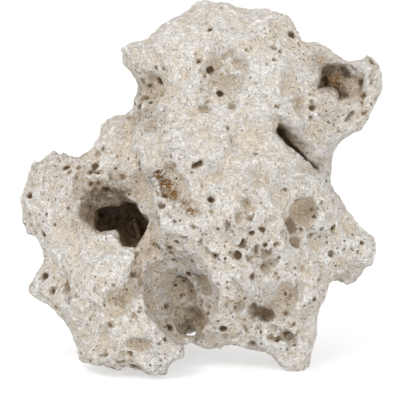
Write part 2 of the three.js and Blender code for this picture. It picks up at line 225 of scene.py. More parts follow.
def object_of(name, mesh):
    piece = bpy.data.objects.new(name, mesh)
    bpy.context.scene.collection.objects.link(piece)
    return piece


def points_of(mesh):
    points = np.empty(len(mesh.vertices) * 3, np.float32)
    mesh.vertices.foreach_get("co", points)
    return points.reshape(-1, 3)


def triangles_of(mesh):
    mesh.calc_loop_triangles()
    triangles = np.empty(len(mesh.loop_triangles) * 3, np.int32)
    mesh.loop_triangles.foreach_get("vertices", triangles)
    return triangles.reshape(-1, 3).astype(np.uint32)


def net_of(mesh):
    return points_of(mesh), triangles_of(mesh)


def keep_values(mesh, name, values):
    """Keeps a number for each of a mesh's points."""
    mesh.attributes.new(name, "FLOAT", "POINT").data.foreach_set("value", values.astype(np.float32))


def merged(mesh):
    """A copy of a mesh of loose triangles, with its points merged."""
    net = bmesh.new()
    net.from_mesh(mesh)
    bmesh.ops.remove_doubles(net, verts=net.verts, dist=1e-7)
    copy = bpy.data.meshes.new("merged")
    net.to_mesh(copy)
    net.free()
    return copy


def baked(piece):
    """The mesh that an object's modifiers make."""
    graph = bpy.context.evaluated_depsgraph_get()
    return bpy.data.meshes.new_from_object(piece.evaluated_get(graph), depsgraph=graph)


def ball(divisions):
    """The points and triangles of a unit ball."""
    net = bmesh.new()
    bmesh.ops.create_icosphere(net, subdivisions=divisions, radius=1)
    points = np.array([vertex.co for vertex in net.verts])
    triangles = np.array([[vertex.index for vertex in face.verts] for face in net.faces])
    net.free()
    return points, triangles


def together(pieces):
    """Pieces, each of points and triangles, as one piece."""
    counts = np.cumsum([0] + [len(points) for points, triangles in pieces])
    all_points = np.concatenate([points for points, triangles in pieces])
    all_triangles = np.concatenate([triangles + n for n, (points, triangles) in zip(counts, pieces)])
    return all_points.astype(np.float32), all_triangles.astype(np.uint32)


# ---- Lattices of distances ----

BELL_REACH = 2.5  # of a blur's bell curve, in spreads


class Lattice:
    """Points around the stone that hold signed distances to closed surfaces, negative inside them."""

    def __init__(self, step, margin):
        self.step = step
        self.start = np.floor((LOW - margin) / step).astype(int)
        self.shape = tuple(np.ceil((HIGH + margin) / step).astype(int) - self.start + 1)
        self.transform = vdb.createLinearTransform(voxelSize=step)

    def distances(self, points, triangles, reach):
        """The distances to a closed mesh, as far as reach from its surface."""
        grid = vdb.FloatGrid.createLevelSetFromPolygons(
            points, triangles=triangles, transform=self.transform, halfWidth=reach / self.step)
        values = np.empty(self.shape, np.float32)
        grid.copyToArray(values, ijk=tuple(int(n) for n in self.start))
        return values

    def surface(self, name, values, level=0.0):
        """The closed mesh on which the values are at a level."""
        grid = vdb.FloatGrid(background=float(values.max()))
        grid.copyFromArray(values, ijk=tuple(int(n) for n in self.start))
        grid.transform = self.transform
        points, quads = grid.convertToQuads(level)
        return mesh_of(name, points, quads)

    def sampled(self, values, points):
        """The values at some points, between the lattice's own."""
        spots = points / self.step - self.start
        first = np.clip(np.floor(spots).astype(int), 0, np.array(self.shape) - 2)
        share = np.clip(spots - first, 0, 1)
        total = 0
        for corner in np.ndindex(2, 2, 2):
            weight = np.prod(np.where(corner, share, 1 - share), axis=1)
            total = total + weight * values[tuple((first + corner).T)]
        return total

    def blurred(self, values, spread):
        """The values blurred by a bell curve of this spread."""
        spread = spread / self.step
        far = math.ceil(BELL_REACH * spread)
        bell = np.exp(-0.5 * (np.arange(-far, far + 1) / spread) ** 2).astype(np.float32)
        bell /= bell.sum()
        for axis in range(3):
            pads = [(far, far) if n == axis else (0, 0) for n in range(3)]
            padded = np.moveaxis(np.pad(values, pads, "edge"), axis, 0)
            length = values.shape[axis]
            total = bell[far] * padded[far:far + length]
            for n in range(far):
                total += bell[n] * (padded[n:n + length] + padded[2 * far - n:2 * far - n + length])
            values = np.moveaxis(total, 0, axis)
        return np.ascontiguousarray(values)

    def waves(self, random, size):
        """Random numbers that rise and fall smoothly over this size, mostly between -1 and 1."""
        values = self.blurred(random.standard_normal(self.shape, dtype=np.float32), size / 2)
        return values / (2 * values.std())


FINE = Lattice(0.6 * MM, 3 * MM)
COARSE = Lattice(1.2 * MM, 18 * MM)
REACH = 5 * MM  # of the distances that shape the stone


# ---- Scattered hollows ----

PATCH_EDGE = 0.12  # of the patches' noise, over which the balls thin out
STRETCHES = {"Min": (0.75, 0.75, 0.9), "Max": (1.3, 1.3, 1.1)}
SPINS = {"Min": (-0.3, -0.3, 0.0), "Max": (0.3, 0.3, math.tau)}


def bite_maker():
    """Scatters balls over a surface, sunk into it, with uneven skins, in patches. The surface's own numbers
    named room, from 0 to 1, thin them out."""
    maker = Maker("bites", {
        "Density": "Float", "Smallest": "Float", "Largest": "Float", "Large Share": "Float", "Sunk": "Float",
        "Stretch": "Vector", "Patch Size": "Float", "Bare Share": "Float", "Uneven": "Float",
        "Wave Size": "Float", "Divisions": "Int", "Seed": "Int", "Material": "Material",
    })
    given = maker.given
    patch = maker.add(
        "ShaderNodeTexNoise", {"noise_dimensions": "4D"},
        {"W": given["Seed"], "Scale": 1 / given["Patch Size"], "Detail": 1.0})
    room = maker.add("GeometryNodeInputNamedAttribute", {"data_type": "FLOAT"}, {"Name": "room"})
    share = maker.step(patch, given["Bare Share"], given["Bare Share"] + PATCH_EDGE) * room
    spots = maker.add("GeometryNodeDistributePointsOnFaces", sockets={
        "Mesh": given["Geometry"], "Density": given["Density"] * share, "Seed": given["Seed"]})
    chance = maker.add(
        "FunctionNodeRandomValue", {"data_type": "FLOAT"}, {"Min": 0.0, "Max": 1.0, "Seed": given["Seed"]})
    growth = given["Largest"] - given["Smallest"]
    radius = given["Smallest"] + growth * chance ** (1 / given["Large Share"] - 1)
    stretch = maker.add(
        "FunctionNodeRandomValue", {"data_type": "FLOAT_VECTOR"},
        STRETCHES | {"Seed": given["Seed"] + 1})
    sizes = stretch * given["Stretch"] * radius
    height = maker.add("ShaderNodeSeparateXYZ", sockets={"Vector": sizes})["Z"]
    placed = maker.add("GeometryNodeSetPosition", sockets={
        "Geometry": spots, "Offset": spots["Normal"] * (height * (1 - given["Sunk"]))})
    spin = maker.add(
        "FunctionNodeRandomValue", {"data_type": "FLOAT_VECTOR"},
        SPINS | {"Seed": given["Seed"] + 2})
    turned = maker.add(
        "FunctionNodeRotateRotation", {"rotation_space": "LOCAL"},
        {"Rotation": spots["Rotation"], "Rotate By": spin})
    shape = maker.add("GeometryNodeMeshIcoSphere", sockets={
        "Radius": 1.0, "Subdivisions": given["Divisions"]})
    copies = maker.add("GeometryNodeInstanceOnPoints", sockets={
        "Points": placed, "Instance": shape, "Rotation": turned, "Scale": sizes})
    real = maker.add("GeometryNodeRealizeInstances", sockets={"Geometry": copies})
    waves = maker.add("ShaderNodeTexNoise", sockets={"Scale": 1 / given["Wave Size"], "Detail": 1.0})
    maker.finish(maker.add("GeometryNodeSetPosition", sockets={
        "Geometry": real, "Offset": (waves["Color"] - (0.5, 0.5, 0.5)) * given["Uneven"]}))
    return maker


# Each kind of scattered hollow. Density is in hollows for each square metre.
BITES = {
    "scallops": {
        "Deepest": 2.4 * MM,
        "Density": 14_000.0, "Smallest": 8 * MM, "Largest": 22 * MM, "Large Share": 0.4, "Sunk": 0.09,
        "Stretch": (1.0, 1.0, 1.0), "Patch Size": 60 * MM, "Bare Share": 0.0, "Uneven": 1.6 * MM,
        "Wave Size": 7 * MM, "Divisions": 4, "Seed": 11,
    },
    "dimples": {
        "Deepest": 2.5 * MM,
        "Density": 20_000.0, "Smallest": 2.2 * MM, "Largest": 7 * MM, "Large Share": 0.3, "Sunk": 0.15,
        "Stretch": (1.0, 1.0, 1.0), "Patch Size": 24 * MM, "Bare Share": 0.42, "Uneven": 1.8 * MM,
        "Wave Size": 3 * MM, "Divisions": 3, "Seed": 23,
    },
    "pits": {
        "Deepest": 6 * MM,
        "Density": 100_000.0, "Smallest": 0.7 * MM, "Largest": 2.0 * MM, "Large Share": 0.2, "Sunk": 0.85,
        "Stretch": (1.0, 1.0, 1.1), "Patch Size": 12 * MM, "Bare Share": 0.44, "Uneven": 2.2 * MM,
        "Wave Size": 2.0 * MM, "Divisions": 3, "Seed": 31,
    },
    "lone pits": {
        "Deepest": 8 * MM,
        "Density": 6_500.0, "Smallest": 0.7 * MM, "Largest": 1.4 * MM, "Large Share": 0.3, "Sunk": 0.9,
        "Stretch": (1.0, 1.0, 1.5), "Patch Size": 40 * MM, "Bare Share": 0.1, "Uneven": 1.6 * MM,
        "Wave Size": 1.8 * MM, "Divisions": 3, "Seed": 47,
    },
}

CROWD = 0.05  # the most square metres that one batch's balls may cover together
BITE_REACH = 3 * FINE.step


def bitten(stone, skin, maker, bite, material):
    """The stone with scattered balls taken away, in batches too small for the balls to close over it."""
    inputs = {name: value for name, value in bite.items() if name in maker.keys}
    balls = maker.make(skin, inputs | {"Material": material})
    corners = 10 * 4 ** (bite["Divisions"] - 1) + 2
    sides = 2 * (corners - 2)
    points = points_of(balls).reshape(-1, corners, 3)
    ball_sides = triangles_of(balls)[:sides]
    batches = math.ceil(len(points) * math.pi * bite["Largest"] ** 2 / CROWD)
    floor = stone + bite["Deepest"]
    for first in range(batches):
        batch = points[first::batches]
        triangles = ball_sides + corners * np.arange(len(batch), dtype=np.uint32)[:, None, None]
        gap = FINE.distances(batch.reshape(-1, 3), triangles.reshape(-1, 3).astype(np.uint32), BITE_REACH)
        stone = np.maximum(stone, np.minimum(-gap, floor))
    return stone


# ---- Hollows that have their own places ----

# Each has a name, its place u and v on the face, its half sizes across and up, its depth, all in
# millimetres, and its turn in degrees. A bowl is a shallow cap, a hole goes straight in and a break has
# flat, sharp sides.
HOLLOWS = [
    ("crown's hollow", 12, 146.5, 10, 11.5, 4, 0, "bowl"),
    ("shoulder's upper pocket", -25.5, 137, 5.5, 6.5, 2.5, 0, "bowl"),
    ("shoulder's lower pocket", -25, 124, 6.5, 5.5, 2.5, 0, "bowl"),
    ("shoulder's dark pit", -22, 119, 1.5, 1.5, 5, 0, "hole"),
    ("shoulder's small pit", -23.5, 125, 1.5, 1.5, 3, 0, "hole"),
    ("brow's pit", 3, 129, 3, 2.5, 4, 0, "bowl"),
    ("brow's deep pit", 14, 130, 2, 2, 5, 0, "break"),
    ("heart's slot", 16.5, 113, 1.5, 4, 4, 10, "hole"),
    ("heart's small slot", 30, 115, 2.5, 1, 2.5, -20, "hole"),
    ("crown's right slot", 47, 130.5, 2, 4, 3, -10, "bowl"),
    ("right corner's slot", 56.5, 152, 2, 3, 3.5, 40, "hole"),
    ("lobe's top pit", 65.5, 152.5, 1.5, 1.5, 3, 0, "hole"),
    ("heart's scallop", 27, 96, 6.5, 8, 3, 0, "bowl"),
    ("heart's scallop's pit", 21.5, 89.5, 2.5, 2.5, 2, 0, "bowl"),
    ("upper twin pit", 22, 83.5, 2.5, 3.5, 4.5, 25, "bowl"),
    ("lower twin pit", 19, 78.5, 2, 3.5, 5, -10, "hole"),
    ("twin pits' tail", 12.5, 73.5, 1.5, 2.5, 4, 0, "hole"),
    ("right bowl", 49, 80, 7.5, 7, 6.5, -10, "bowl"),
    ("right bowl's spike", 51, 84.5, 3.5, 3.5, 5, 20, "break"),
    ("right bowl's left pit", 42, 74, 3.5, 4.5, 6, 0, "bowl"),
    ("right bowl's dark dot", 42, 75.5, 1, 1, 5, 0, "hole"),
    ("right bowl's tail", 44.5, 66.5, 3, 3.5, 6, 0, "bowl"),
    ("right bowl's low pit", 53.5, 69, 2.5, 1.5, 4, 0, "hole"),
    ("heart's low dot", 33, 77, 2.5, 1.5, 2, 0, "bowl"),
    ("dot beside the bowl", 40, 71, 1.5, 2.5, 3, 0, "hole"),
    ("heart's crease", 27, 63, 1, 3, 5, 10, "hole"),
    ("rough pit's top", 31, 61, 2.5, 2, 5, 0, "break"),
    ("rough pit's middle", 35, 57, 1.5, 2, 3.5, 0, "hole"),
    ("rough pit's bottom", 30.5, 55, 2.5, 2.5, 2.5, 0, "bowl"),
    ("rough pit's end", 36, 51, 2, 2, 3, 0, "hole"),
    ("waist's slot", 61.5, 61, 1.5, 2, 4, 0, "hole"),
    ("arm's low pit", 69.5, 48.5, 3, 2.5, 2, 0, "bowl"),
    ("foot's bowl", 38, 38.5, 8.5, 6, 4, 30, "bowl"),
    ("foot's broken pit", 42, 41, 4.5, 4, 7, 15, "break"),
    ("foot's spike", 46.5, 46.5, 2, 2.5, 4, -30, "break"),
    ("foot's left pit", 34, 42, 1.5, 1.5, 2.5, 0, "bowl"),
    ("foot's dark hole", 29, 33.5, 3.5, 3.5, 10, 20, "break"),
    ("sill's pit", 17.5, 36, 2.5, 3, 4, 0, "bowl"),
    ("sill's crack", 21, 26, 1, 3, 4, 35, "hole"),
    ("sill's hollow", 11.5, 21, 2.5, 2, 3, 0, "bowl"),
    ("sill's notch", 24.5, 18, 2.5, 2, 3, 0, "bowl"),
    ("foot's cone", 41.5, 22, 4.5, 3, 4, -30, "bowl"),
    ("foot's cone's pit", 33.5, 26, 3, 2.5, 2, 0, "bowl"),
    ("foot's dark slot", 36.5, 21.5, 1, 2, 5, 0, "hole"),
    ("foot's right pit", 49.5, 30.5, 2, 2, 3, 0, "hole"),
    ("valley's upper slit", -15.7, 59.1, 2.3, 0.9, 4, 35, "hole"),
    ("valley's left slit", -17.6, 44.9, 2, 0.9, 4, 50, "hole"),
    ("valley's left scar", -19, 40, 1.6, 2.6, 1, 0, "bowl"),
    ("scar over the valley", -15.6, 68.5, 1.7, 2.5, 1.2, -30, "bowl"),
    ("arm's hole", -61, 45, 2, 3, 7, 20, "hole"),
    ("arm's hole's foot", -61, 41, 2, 2, 6, 0, "hole"),
    ("wing's pit", -61.5, 81, 1.5, 1.5, 4, 0, "hole"),
    ("ledge's pit", -39.5, 97, 2, 2.5, 5, 0, "hole"),
    ("ledge's right pit", -27.5, 94, 1, 1.5, 3, 0, "hole"),
    ("wing's top pit", -53, 96, 1.5, 2, 3, 0, "hole"),
    ("wing's underside notch", -78, 70.5, 2, 1.5, 3, 0, "bowl"),
    ("leg's bowl", -37.5, 38, 7, 6.5, 3, 0, "bowl"),
    ("leg's bowl's brown pit", -35.5, 41, 3.5, 3, 4, 0, "bowl"),
    ("leg's dark dot", -40, 40, 1, 1, 4, 0, "hole"),
    ("leg's left slit", -48, 46, 0.7, 2, 3, 0, "hole"),
    ("leg's lower scar", -26.5, 19.5, 6.5, 3.5, 4, -8, "bowl"),
    ("valley's groove", -28, 50.4, 1.9, 7, 6, 10, "hole"),
    ("leg's small hollow", -43.5, 26, 1.5, 2.5, 2, 0, "bowl"),
    ("rusty first crumb", -19.3, 98, 2, 1.5, 2.4, -30, "break"),
    ("rusty second crumb", -17, 95.2, 2.4, 1.7, 3, -60, "break"),
    ("rusty third crumb", -15.2, 91.8, 2.8, 1.9, 3.8, -20, "break"),
    ("rusty fourth crumb", -12.8, 90.2, 2, 1.6, 3.2, -50, "break"),
    ("rusty fifth crumb", -12, 87.2, 2.1, 1.6, 3.8, -70, "break"),
    ("rusty sixth crumb", -7.2, 84.6, 1.5, 1.1, 2.4, -30, "break"),
    ("rusty seventh crumb", -4.2, 81.8, 1.8, 1.2, 2.8, -50, "break"),
    ("rusty end", -1.4, 80, 2.8, 1.4, 3, -20, "break"),
    ("rusty pit", -13.5, 100.5, 2, 1.3, 5, 20, "hole"),
    ("valley's rough pit", -8.3, 42.8, 2.6, 2.2, 1.2, 10, "break"),
    ("valley's hook's bowl", -4, 51, 2.2, 2, 1.4, 0, "bowl"),
    ("valley's upper dot", -10.5, 46.2, 0.9, 0.8, 1.5, 0, "hole"),
    ("valley's middle dot", -5.4, 45.8, 0.8, 0.9, 1.5, 0, "hole"),
    ("valley's inner dot", -11.3, 40.6, 1.1, 0.9, 2, 20, "hole"),
    ("valley's hook", -0.5, 48.6, 3.4, 1.3, 6, -35, "hole"),
    ("valley's right pit", -0.9, 38.6, 1.6, 1.1, 4, 10, "hole"),
    ("valley's far right pit", 2.9, 36.6, 1.3, 1, 4, 35, "hole"),
    ("valley's rusty pit", 1.4, 31.5, 1.5, 2.2, 1.5, 0, "bowl"),
    ("valley's low pit", -5.7, 30.1, 0.8, 1, 3, 0, "hole"),
    ("valley's low dot", -2.9, 31.4, 0.7, 0.7, 3, 0, "hole"),
    ("valley's dark hole", -8.1, 22.9, 1.4, 1.5, 5, 0, "hole"),
    ("cave's wall pit", -44.5, 89.5, 1.3, 1, 3, 30, "hole"),
    ("cave's wall dimple", -42.7, 88, 1.4, 1, 1, 0, "bowl"),
    ("cave's low wall pit", -44.9, 84.8, 1, 0.8, 3, 0, "hole"),
    ("cave's upper pit", -38.5, 90, 0.8, 0.8, 3, 0, "hole"),
    ("cave's brow pit", -37, 87, 1.5, 2, 6, -20, "hole"),
    ("cave's left rim", -51, 90, 5, 9, 1.5, -35, "bowl"),
    ("lobe's slit", 71.3, 124, 4.4, 1.1, 7, 43, "hole"),
    ("lobe's rusty dot", 77, 135.5, 1, 1, 3, 0, "hole"),
    ("lobe's low dot", 62.5, 131, 1.2, 0.9, 2.5, 0, "hole"),
    ("lobe's dark dot", 59.5, 125.5, 0.7, 1, 3, 0, "hole"),
    ("heart's first dot", 13.5, 61.5, 0.9, 1, 4, 20, "hole"),
    ("heart's second dot", 11, 59.3, 0.7, 0.7, 3, 0, "hole"),
    ("heart's third dot", 8, 60.5, 0.8, 0.8, 3, 0, "hole"),
    ("heart's fourth dot", 10.5, 57.2, 0.6, 0.6, 3, 0, "hole"),
]
SMALL_HOLLOW = 2.8  # the most that a hollow's lesser half size is, in millimetres, if its rim is nearly even
BOWL_LIFT = 0.75  # of the middle of a bowl's ball above the surface, in depths
BOWL_GROWTH = 1.2  # of its half sizes, which makes them right where it meets the surface
BOWL_SPARE = 1  # millimetre that a bowl's ball is deeper, for the waves in it
BREAK_GROWTH = (1.15, 1.15, 1.1)  # of a break's sizes, for its corners that lie further in
BREAK_SPREAD = (0.75, 1.15)  # of the corners' distances from its middle
RIM_SPOTS = 12
IN_FRONT = 200  # the w of places before the whole stone, in millimetres


def rim_of(tree, u, v, half, turn):
    """The middle of a hollow's rim on the stone, and its frame: across, up and out of the surface."""
    cos, sin = math.cos(turn), math.sin(turn)
    spots = [(u, v)]
    for angle in np.linspace(0, math.tau, RIM_SPOTS, endpoint=False):
        x, y = half[0] * math.cos(angle), half[1] * math.sin(angle)
        spots.append((u + x * cos - y * sin, v + x * sin + y * cos))
    hits = [tree.ray_cast(place_of(*spot, IN_FRONT), -OUT)[0] for spot in spots]
    hits = np.array([hit for hit in hits if hit is not None])
    near = hits[np.abs(hits @ np.array(OUT) - np.median(hits @ np.array(OUT))) < max(half) * MM]
    middle = near.mean(axis=0)
    out = Vector(np.linalg.svd(near - middle)[2][2])
    if out.dot(OUT) < 0:
        out.negate()
    across = (Matrix.Rotation(turn, 3, out) @ (ACROSS - out * ACROSS.dot(out))).normalized()
    return Vector(middle), Matrix((across, out.cross(across), out)).transposed()


def placed_hollows(skin, hollows):
    """The points and triangles of hollows that have their own places."""
    tree = BVHTree.FromPolygons(points_of(skin).tolist(), triangles_of(skin).tolist())
    random = np.random.default_rng(SEED)
    pieces = []
    for name, u, v, a, b, depth, turn, form in hollows:
        middle, axes = rim_of(tree, u, v, (a, b), math.radians(turn))
        points, triangles = ball(1 if form == "break" else 4)
        sizes = (a, b, depth)
        lift = 0
        if form == "bowl":
            sizes = (a * BOWL_GROWTH, b * BOWL_GROWTH, depth * (1 + BOWL_LIFT) + BOWL_SPARE)
            lift = BOWL_LIFT * depth
        if form == "break":
            sizes = np.multiply(sizes, BREAK_GROWTH)
            points = points * random.uniform(*BREAK_SPREAD, (len(points), 1))
        points = (points * sizes + (0, 0, lift)) * MM
        pieces.append((points @ np.array(axes).T + np.array(middle), triangles))
    return together(pieces)


# Deep hollows whose walls slope in from the rim: how deep the walls go, then for each corner its u and v
# on the rim and at the walls' foot. Everything is in millimetres.
MOUTHS = {
    "cave": (13, [
        (-57, 79.8, -50, 77), (-55.5, 87, -49.7, 80.5), (-51.5, 92.5, -48.3, 82.6),
        (-46.6, 95.5, -44, 83), (-41, 95, -40.5, 84.2), (-36.8, 92.5, -38, 83.4),
        (-33.6, 88.8, -35.6, 86), (-31, 87.4, -32.5, 85), (-29.2, 85, -29.5, 84.6),
        (-26.1, 79.8, -26.5, 79.5), (-23, 75.1, -23.5, 75), (-23.8, 71.8, -24, 72), (-27.6, 65.6, -28, 66),
        (-29.5, 63.4, -30, 64), (-36.1, 63.7, -35.5, 64.5), (-38, 67, -37.5, 67.5), (-39, 70.8, -39, 70.5),
        (-48.5, 69.9, -46, 70), (-49.9, 72.7, -49, 72),
    ]),
    "crack": (8, [
        (34.7, 118.8, 36, 118.2), (37.1, 123.4, 37, 119.2), (39.8, 122.6, 38.7, 118),
        (44, 118.5, 41, 114.8), (47.5, 116.9, 43.5, 112.6), (53.2, 111.7, 48.5, 107.6),
        (56, 107.4, 52.5, 103.8), (57.5, 99.3, 55.8, 100.4), (56, 98.8, 55, 99.6),
        (52.7, 101.2, 51.8, 101.2), (48.9, 105, 48, 104.6), (45.6, 108.8, 44.6, 108.2),
        (40.4, 111.7, 39.6, 111.8), (38, 115.9, 37, 115.6),
    ]),
    "lobe": (5, [
        (58, 143.6, 58.4, 143.2), (58.6, 146.2, 59.4, 145.4), (61.4, 146.4, 61.4, 145.6),
        (64.6, 146, 63.4, 145.4), (67.6, 148.2, 65.8, 147.2), (69.4, 146, 66, 145), (70, 143, 64.4, 143.2),
        (72, 140.2, 65, 142), (72.6, 137, 65.4, 141.2), (70.4, 135.2, 64.8, 140.8),
        (67.2, 136.2, 63.8, 140.8), (64.8, 138, 62.8, 141.2), (62.4, 140.4, 61.2, 141.6),
        (59.8, 141, 59.6, 141.6),
    ]),
}
MOUTH_FLARE = 1.5  # of a mouth's cutter above its rim, in depths
FLARE_GROWTH = 1.05  # of the cutter there
MOUTH_SINK = 8.0  # of the cutter below the walls' foot
PLUG_GROWTH = 1.3  # of a plug beyond its rim
PLUG_COVER = 0.6  # of stone over a plug
PLUG_SPARE = 1.0  # of a plug below the walls' foot
RIM_STEP = 9.0  # the most that a place on a rim lies above or below the rim's middle height
NOWHERE = -99.0  # the height of a place that misses the stone


def loft(rings):
    """A closed surface through rings of equally many places in the face frame."""
    count = len(rings[0])
    middles = [rings[0].mean(axis=0), rings[-1].mean(axis=0)]
    points = np.concatenate([*rings, middles])
    triangles = []
    for n in range(count):
        after = (n + 1) % count
        for ring in range(len(rings) - 1):
            low, high = ring * count, (ring + 1) * count
            triangles += [(low + n, high + n, low + after), (low + after, high + n, high + after)]
        last = (len(rings) - 1) * count
        triangles += [(len(points) - 2, n, after), (len(points) - 1, last + after, last + n)]
    return world_of(points), np.array(triangles)


def mouths(skin):
    """The plugs that fill the mouths as deep as their walls go, then the cutters that open them again, each
    as points and triangles."""
    tree = BVHTree.FromPolygons(points_of(skin).tolist(), triangles_of(skin).tolist())
    plugs = []
    cutters = []
    for depth, corners in MOUTHS.values():
        corners = np.array(corners, float)
        rim, foot = corners[:, :2], corners[:, 2:]
        middle = rim.mean(axis=0)

        def heights(places):
            hits = [tree.ray_cast(place_of(u, v, IN_FRONT), -OUT)[0] for u, v in places]
            found = np.array([NOWHERE if hit is None else face_of(np.array(hit))[2] for hit in hits])
            usual = np.median(found)
            return np.where(np.abs(found - usual) > RIM_STEP, usual, found)

        def ring(places, heights):
            return np.column_stack([places, np.broadcast_to(heights, len(places))])

        wide = middle + (rim - middle) * PLUG_GROWTH
        level = heights(rim)
        base = level.mean() - depth
        cover = np.minimum(heights(wide), level) - PLUG_COVER
        plugs.append(loft([ring(wide, cover), ring(wide, base - PLUG_SPARE)]))
        flare = middle + (rim - middle) * FLARE_GROWTH
        cutters.append(loft([
            ring(flare, level + MOUTH_FLARE * depth), ring(rim, level), ring(foot, base),
            ring(foot, base - MOUTH_SINK)]))
    return together(plugs), together(cutters)


# Swellings that narrow the deep hollows: a name, the middle u, v and w, half sizes that way, and a turn.
SWELLINGS = [
    ("cave's upper wall", -42, 94, 0, 13, 10.5, 16, 0),
    ("cave's left wall", -54, 79, 0, 5, 10, 14, 0),
    ("valley's floor", -8.5, 39, 0, 11, 11, 14, 15),
    ("valley's low floor", -11.5, 29.5, 0, 7, 6.5, 13, 0),
]
# Thin walls, floors and rims inside the opened hollows, in the same way.
CRUMBS = [
    ("cave's rib", -30, 72, -9, 1.4, 6, 4, 15),
    ("lobe's floor", 62, 143.5, -4, 8, 7, 9, 0),
    ("lobe's ramp", 71, 139, -1, 7, 5.5, 7.5, -35),
    ("lobe's lower rim", 59.5, 135.3, 9, 6.4, 4.6, 9.8, -8),
    ("lobe's left rim", 54.8, 143, 8.5, 3, 7, 9.8, 0),
    ("lobe's upper rim", 74.5, 146.5, 0.5, 5.5, 3.2, 7.5, -30),
    ("lobe's rib", 65.8, 142.2, 1, 3.6, 0.8, 4.5, -48),
]


def lumps(rows):
    """The points and triangles of swellings or crumbs."""
    points, triangles = ball(4)
    pieces = []
    for name, u, v, w, a, b, c, turn in rows:
        spin = Matrix.Rotation(math.radians(turn), 3, "Z")
        pieces.append((world_of((points * (a, b, c)) @ np.array(spin).T + (u, v, w)), triangles))
    return together(pieces)


# ---- Stains, painted shade and painted light ----

# Places of rust: u, v, how far each reaches across and up, and its strength.
RUST = [
    (-18.8, 97.4, 2.8, 2.2, 1.2), (-15.2, 93, 2.8, 2.8, 1.3), (-12.2, 88.8, 2.2, 2.4, 1.3),
    (-7, 84.6, 2.2, 1.6, 1.1), (-3.6, 81, 2.6, 1.8, 1.1), (-14, 101, 2.4, 1.6, 0.6),
    (-54, 77, 5, 5, 0.35), (-60, 102, 9, 6, 0.25), (-66, 88, 8, 8, 0.15),
    (1, 38, 3, 6, 0.35), (31, 35, 3, 3, 0.6), (27, 60, 5, 3, 0.3), (56, 152, 4, 4, 0.55),
    (46, 131, 3, 5, 0.35), (-37, 134, 4, 5, 0.25), (-5, 43, 6, 6, 0.25), (65, 142, 4, 5, 0.9),
    (77, 135.5, 1.5, 1.5, 0.9), (1.5, 31.5, 2, 3, 0.8), (-27.5, 50, 2, 7, 0.5), (59, 127, 3, 2, 0.4),
]
# Places where pits crowd together. There are fewer of them on the rest of the face.
CROWDED = [
    (12, 146, 7, 8, 0.5), (-25, 137, 6, 6, 1.0), (-25, 124, 6, 6, 1.0), (45, 160, 9, 5, 0.6),
    (60, 135, 8, 8, 0.7), (78, 132, 5, 8, 0.6), (-62, 98, 12, 10, 0.7), (-38, 97, 12, 6, 0.6),
    (-15, 78, 9, 9, 0.4), (5, 64, 14, 8, 0.9), (22, 60, 16, 8, 0.7), (26, 76, 12, 6, 0.5),
    (48, 74, 10, 10, 0.5), (70, 68, 8, 10, 0.8), (36, 33, 14, 12, 0.5), (10, 30, 10, 10, 0.5),
    (-38, 38, 12, 9, 0.5), (-22, 14, 14, 9, 0.6), (-66, 46, 7, 7, 0.8), (-72, 80, 8, 12, 0.3),
    (-12, 91, 6, 7, 0.9), (-44, 92, 5, 4, 0.8), (28, 58, 6, 7, 0.6),
    (-8, 42, 6, 6, 0.9), (-2, 33, 5, 7, 0.6),
]
# Places painted dark brown: mostly painted shade, on the cave's walls, in the valley's lower part and in the
# holes of the foot and the lobe, and partly brown earth, as on the crack's wall.
SOIL_AND_SHADE = [
    (-46, 89, 7, 4.5, 0.9), (-51.5, 82, 3, 6, 0.8), (-38, 89, 5, 3.5, 0.9), (-11, 31, 7, 9, 0.3),
    (-12, 50, 8, 8, 0.12), (37.5, 117, 2, 2, 0.7), (43, 115, 3.5, 3.5, 0.25),
    (50, 109, 3.5, 4, 0.25), (55, 102, 2.6, 3, 0.6),
    (61, 143, 4, 5, 0.9), (70, 139.5, 5, 4, 0.35), (29, 33.5, 2.6, 2.6, 0.8), (-25, 124, 5, 4, 0.3),
    (-25.5, 137, 4.5, 5, 0.25), (40, 36, 7, 5, 0.15), (30, 56, 3, 4, 0.3), (12, 143, 7, 7, 0.15),
]
# Places of chalky white, and places painted lighter where the lamps leave faces in shade, as on the foot and
# the waist: painted light.
CHALK_AND_LIGHT = [
    (14, 166, 12, 8, 0.7), (-4, 110, 13, 9, 0.8), (27, 99, 10, 6, 0.5), (-36, 63, 12, 12, 0.6),
    (8, 90, 12, 12, 0.5), (40, 112, 10, 12, 0.4), (5, 62, 14, 10, 0.3), (18, 52, 20, 6, 0.5),
    (52, 18, 9, 14, 0.8), (60, 68, 6, 12, 1.0), (36, 128, 8, 14, 0.5), (47, 92, 9, 8, 0.5),
    (60, 100, 5, 12, 0.8), (47, 138, 8, 16, 0.5), (31, 150, 5, 14, 0.5), (60, 20, 9, 14, 0.8),
    (40, 23, 9, 5, 1.0),
]


FACE_END = -15  # the w behind which the face's stains, painted shade and painted light end
TINT_LEAST = 0.3  # the strength of the faintest tint
TINT_DEPTH = 8  # the depth of a hollow that adds a whole strength to it
TINT_EDGE = 1.1  # where a tint fades, in the hollow's half sizes squared
TINT_SHIFT = 2  # how far the walls' waves move that edge, in their heights


def tint(points):
    """How much tan the named hollows get at some points of the stone: partly their own earth, partly painted
    shade that grows with a hollow's depth.
    """
    face = face_of(points)
    total = np.zeros(len(points))
    for name, u, v, a, b, depth, turn, form in HOLLOWS:
        x, y = face[:, 0] - u, face[:, 1] - v
        cos, sin = math.cos(math.radians(turn)), math.sin(math.radians(turn))
        gap = ((x * cos + y * sin) / a) ** 2 + ((y * cos - x * sin) / b) ** 2
        strength = min(1.0, TINT_LEAST + depth / TINT_DEPTH) * (face[:, 2] > FACE_END)
        total = np.maximum(total, strength * np.exp(-(gap / TINT_EDGE) ** 2))
    return total


def spot_strength(points, places):
    """How strong the listed spots are at some points of the stone: stains, crowded pits, painted shade and
    painted light.
    """
    face = face_of(points)
    total = np.zeros(len(points))
    for u, v, across, up, strength in places:
        gap = ((face[:, 0] - u) / across) ** 2 + ((face[:, 1] - v) / up) ** 2
        total = np.maximum(total, strength * np.exp(-0.5 * gap) * (face[:, 2] > FACE_END))
    return total


# ---- The stone ----

